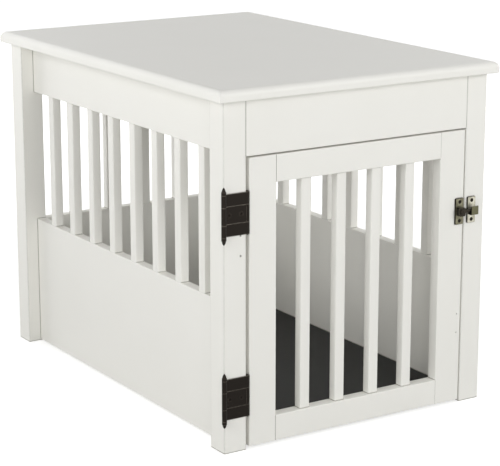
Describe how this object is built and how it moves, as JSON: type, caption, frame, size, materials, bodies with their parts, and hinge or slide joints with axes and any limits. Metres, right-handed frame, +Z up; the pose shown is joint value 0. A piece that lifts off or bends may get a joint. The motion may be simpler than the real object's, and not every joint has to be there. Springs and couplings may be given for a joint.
{
  "type": "dog crate end table",
  "caption": "White painted wooden dog crate that is also an end table, with barred walls, a dark floor and a barred door on double-acting hinges with a lift latch.",
  "frame": {"origin": "centre of the table's outline at floor level", "axes": "+X to the right seen from the front, +Y from the door to the back, +Z up"},
  "size_m": [0.5, 0.71, 0.54],
  "materials": {
    "white_paint": "satin white paint on wood",
    "floor_board": "matt charcoal laminated board",
    "bare_wood": "planed, unpainted",
    "dark_bronze": "oil rubbed bronze",
    "antique_brass": "antique brass, worn bright on the edges",
    "zinc_screw": "zinc plated"
  },
  "bodies": {
    "frame": {"back_cleat_screws": "zinc_screw", "back_dowels": "bare_wood", "back_floor_cleat": "bare_wood", "back_left_post": "white_paint", "back_lower_panel": "white_paint", "back_right_post": "white_paint", "back_slats": "white_paint", "back_top_rail": "white_paint", "floor_front_batten": "bare_wood", "floor_panel": "floor_board", "front_batten_dowels": "bare_wood", "front_left_post": "white_paint", "front_rail_dowels": "bare_wood", "front_right_post": "white_paint", "front_top_rail": "white_paint", "hinge_post_screws": "dark_bronze", "latch_keeper": "antique_brass", "latch_keeper_screws": "antique_brass", "left_batten_screws": "zinc_screw", "left_cleat_screws": "zinc_screw", "left_dowels": "bare_wood", "left_floor_cleat": "bare_wood", "left_lower_panel": "white_paint", "left_slats": "white_paint", "left_top_batten": "bare_wood", "left_top_rail": "white_paint", "lower_hinge_post_leaf": "dark_bronze", "lower_outer_hinge_pin": "dark_bronze", "right_batten_screws": "zinc_screw", "right_cleat_screws": "zinc_screw", "right_dowels": "bare_wood", "right_floor_cleat": "bare_wood", "right_lower_panel": "white_paint", "right_slats": "white_paint", "right_top_batten": "bare_wood", "right_top_rail": "white_paint", "table_top": "white_paint", "upper_hinge_post_leaf": "dark_bronze", "upper_outer_hinge_pin": "dark_bronze"},
    "hinge_links": {"lower_hinge_links": "dark_bronze", "lower_inner_hinge_pin": "dark_bronze", "upper_hinge_links": "dark_bronze", "upper_inner_hinge_pin": "dark_bronze"},
    "door": {"door_bottom_rail": "white_paint", "door_dowels": "bare_wood", "door_hinge_stile": "white_paint", "door_latch_stile": "white_paint", "door_slats": "white_paint", "door_top_rail": "white_paint", "hinge_door_screws": "dark_bronze", "latch_door_plate": "antique_brass", "latch_plate_screws": "antique_brass", "latch_stud": "antique_brass", "lower_hinge_door_leaf": "dark_bronze", "upper_hinge_door_leaf": "dark_bronze"},
    "latch_lever": {"latch_lever": "antique_brass"}
  },
  "joints": [
    {"name": "link_swing", "type": "hinge", "parent": "frame", "child": "hinge_links", "pos_m": [-0.239, -0.346, 0.22075], "axis": [0, 0, -1], "range_deg": [0, 160]},
    {"name": "door_swing", "type": "hinge", "parent": "hinge_links", "child": "door", "pos_m": [-0.1962, -0.3412, 0.22075], "axis": [0, 0, -1], "range_deg": [0, 110]},
    {"name": "latch_lift", "type": "hinge", "parent": "door", "child": "latch_lever", "pos_m": [0.1882, -0.3485, 0.311], "axis": [0, -1, 0], "range_deg": [0, 100]}
  ]
}
